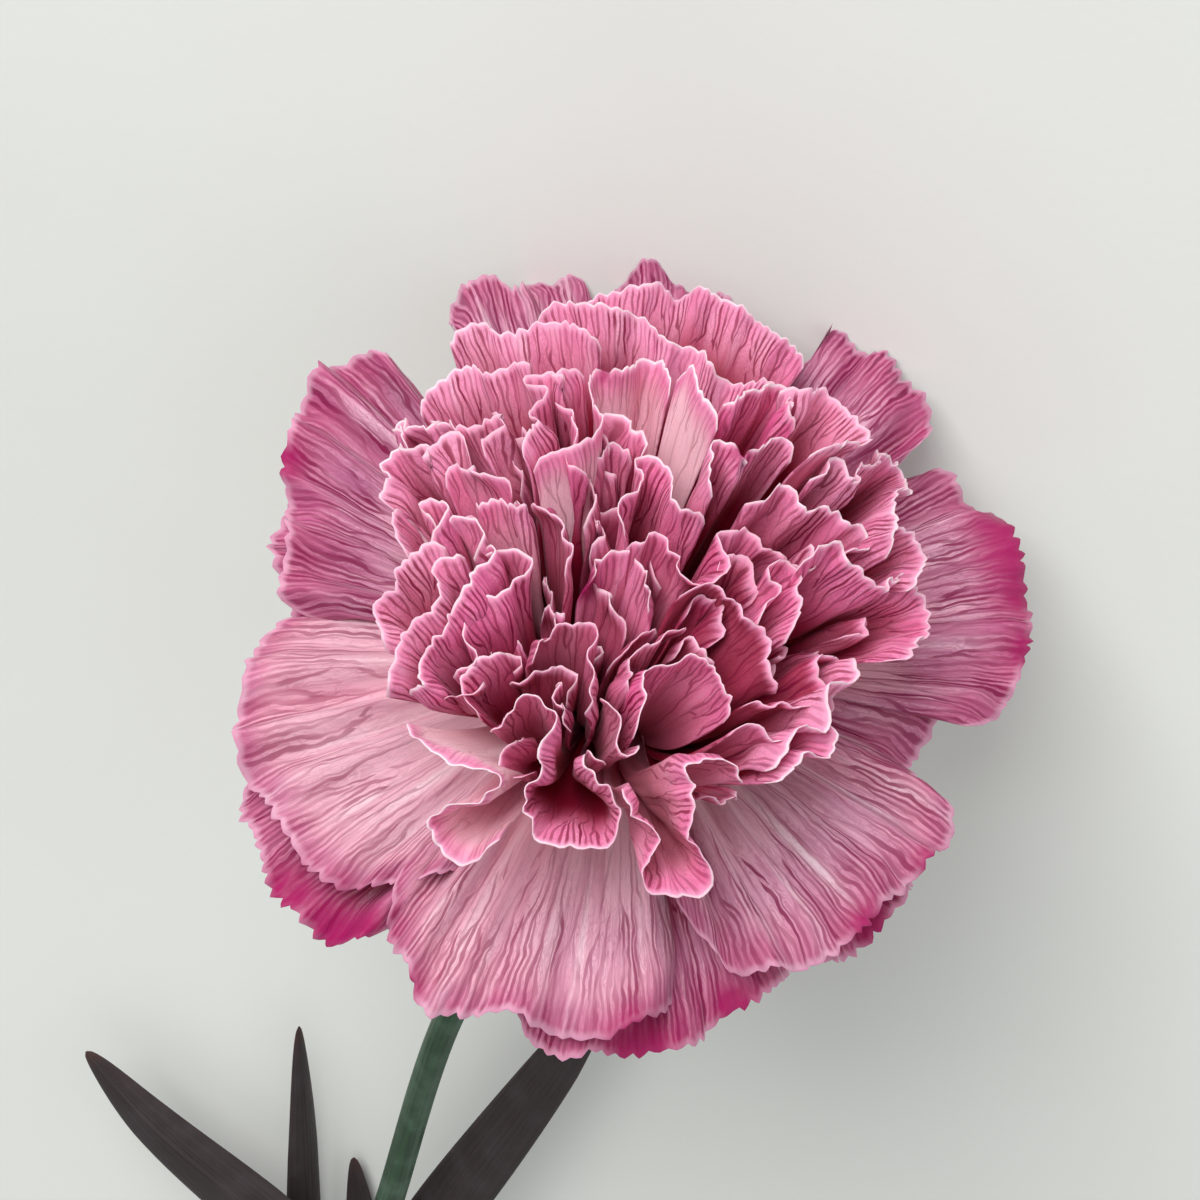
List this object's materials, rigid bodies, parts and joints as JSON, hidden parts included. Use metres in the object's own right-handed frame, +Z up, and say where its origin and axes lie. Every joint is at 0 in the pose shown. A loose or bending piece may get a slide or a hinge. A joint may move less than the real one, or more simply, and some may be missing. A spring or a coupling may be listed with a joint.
{
  "type": "cut carnation",
  "caption": "Double carnation cut with a short jointed stem, lying on its side, with ruffled veined pink petals, a tubular calyx and narrow dark leaves.",
  "frame": {"origin": "middle of the foot of the flower's box, on the surface that it lies on", "axes": "+Z up; the stem runs back along +Y and the flower head faces -Y, turned a little up"},
  "size_m": [0.0836, 0.2232, 0.0745],
  "materials": {
    "guard_petals": "matt, soft, veined rose pink, paler towards the claw",
    "crown_petals": "matt, soft, veined rose pink with a pale rim",
    "calyx": "waxy green",
    "stem": "waxy dark green",
    "leaves": "waxy, dark slate violet"
  },
  "bodies": {
    "root": {"calyx": "calyx", "calyx_bract_1": "calyx", "calyx_bract_2": "calyx", "calyx_bract_3": "calyx", "calyx_bract_4": "calyx", "crown_petal_centre_flap": "crown_petals", "crown_petal_centre_front": "crown_petals", "crown_petal_centre_right": "crown_petals", "crown_petal_dark_cheek": "crown_petals", "crown_petal_dark_cheek_outer": "crown_petals", "crown_petal_front_arch": "crown_petals", "crown_petal_front_ribbon": "crown_petals", "crown_petal_front_spiral": "crown_petals", "crown_petal_front_tongue": "crown_petals", "crown_petal_heart": "crown_petals", "crown_petal_left_edge": "crown_petals", "crown_petal_left_inner": "crown_petals", "crown_petal_left_middle": "crown_petals", "crown_petal_left_top": "crown_petals", "crown_petal_left_wave_1": "crown_petals", "crown_petal_left_wave_2": "crown_petals", "crown_petal_left_wave_3": "crown_petals", "crown_petal_lower_left_roll": "crown_petals", "crown_petal_lower_left_wall": "crown_petals", "crown_petal_lower_right_edge": "crown_petals", "crown_petal_pale_hood": "crown_petals", "crown_petal_pale_wing": "crown_petals", "crown_petal_right_ear": "crown_petals", "crown_petal_right_inner": "crown_petals", "crown_petal_right_lobe": "crown_petals", "crown_petal_right_lower": "crown_petals", "crown_petal_right_top": "crown_petals", "crown_petal_round_back": "crown_petals", "crown_petal_round_front": "crown_petals", "crown_petal_top": "crown_petals", "crown_petal_top_back": "crown_petals", "crown_petal_top_left": "crown_petals", "crown_petal_top_left_front": "crown_petals", "crown_petal_upper_fold": "crown_petals", "crown_petal_upper_left": "crown_petals", "crown_petal_upper_right": "crown_petals", "guard_petal_left": "guard_petals", "guard_petal_left_back": "guard_petals", "guard_petal_lower": "guard_petals", "guard_petal_lower_back": "guard_petals", "guard_petal_lower_left": "guard_petals", "guard_petal_lower_left_back": "guard_petals", "guard_petal_lower_right": "guard_petals", "guard_petal_lower_right_back": "guard_petals", "guard_petal_right": "guard_petals", "guard_petal_right_back": "guard_petals", "guard_petal_upper": "guard_petals", "guard_petal_upper_left": "guard_petals", "guard_petal_upper_right": "guard_petals", "leaf_left": "leaves", "leaf_low_left": "leaves", "leaf_low_right": "leaves", "leaf_right": "leaves", "receptacle": "calyx", "stem": "stem"}
  },
  "joints": []
}
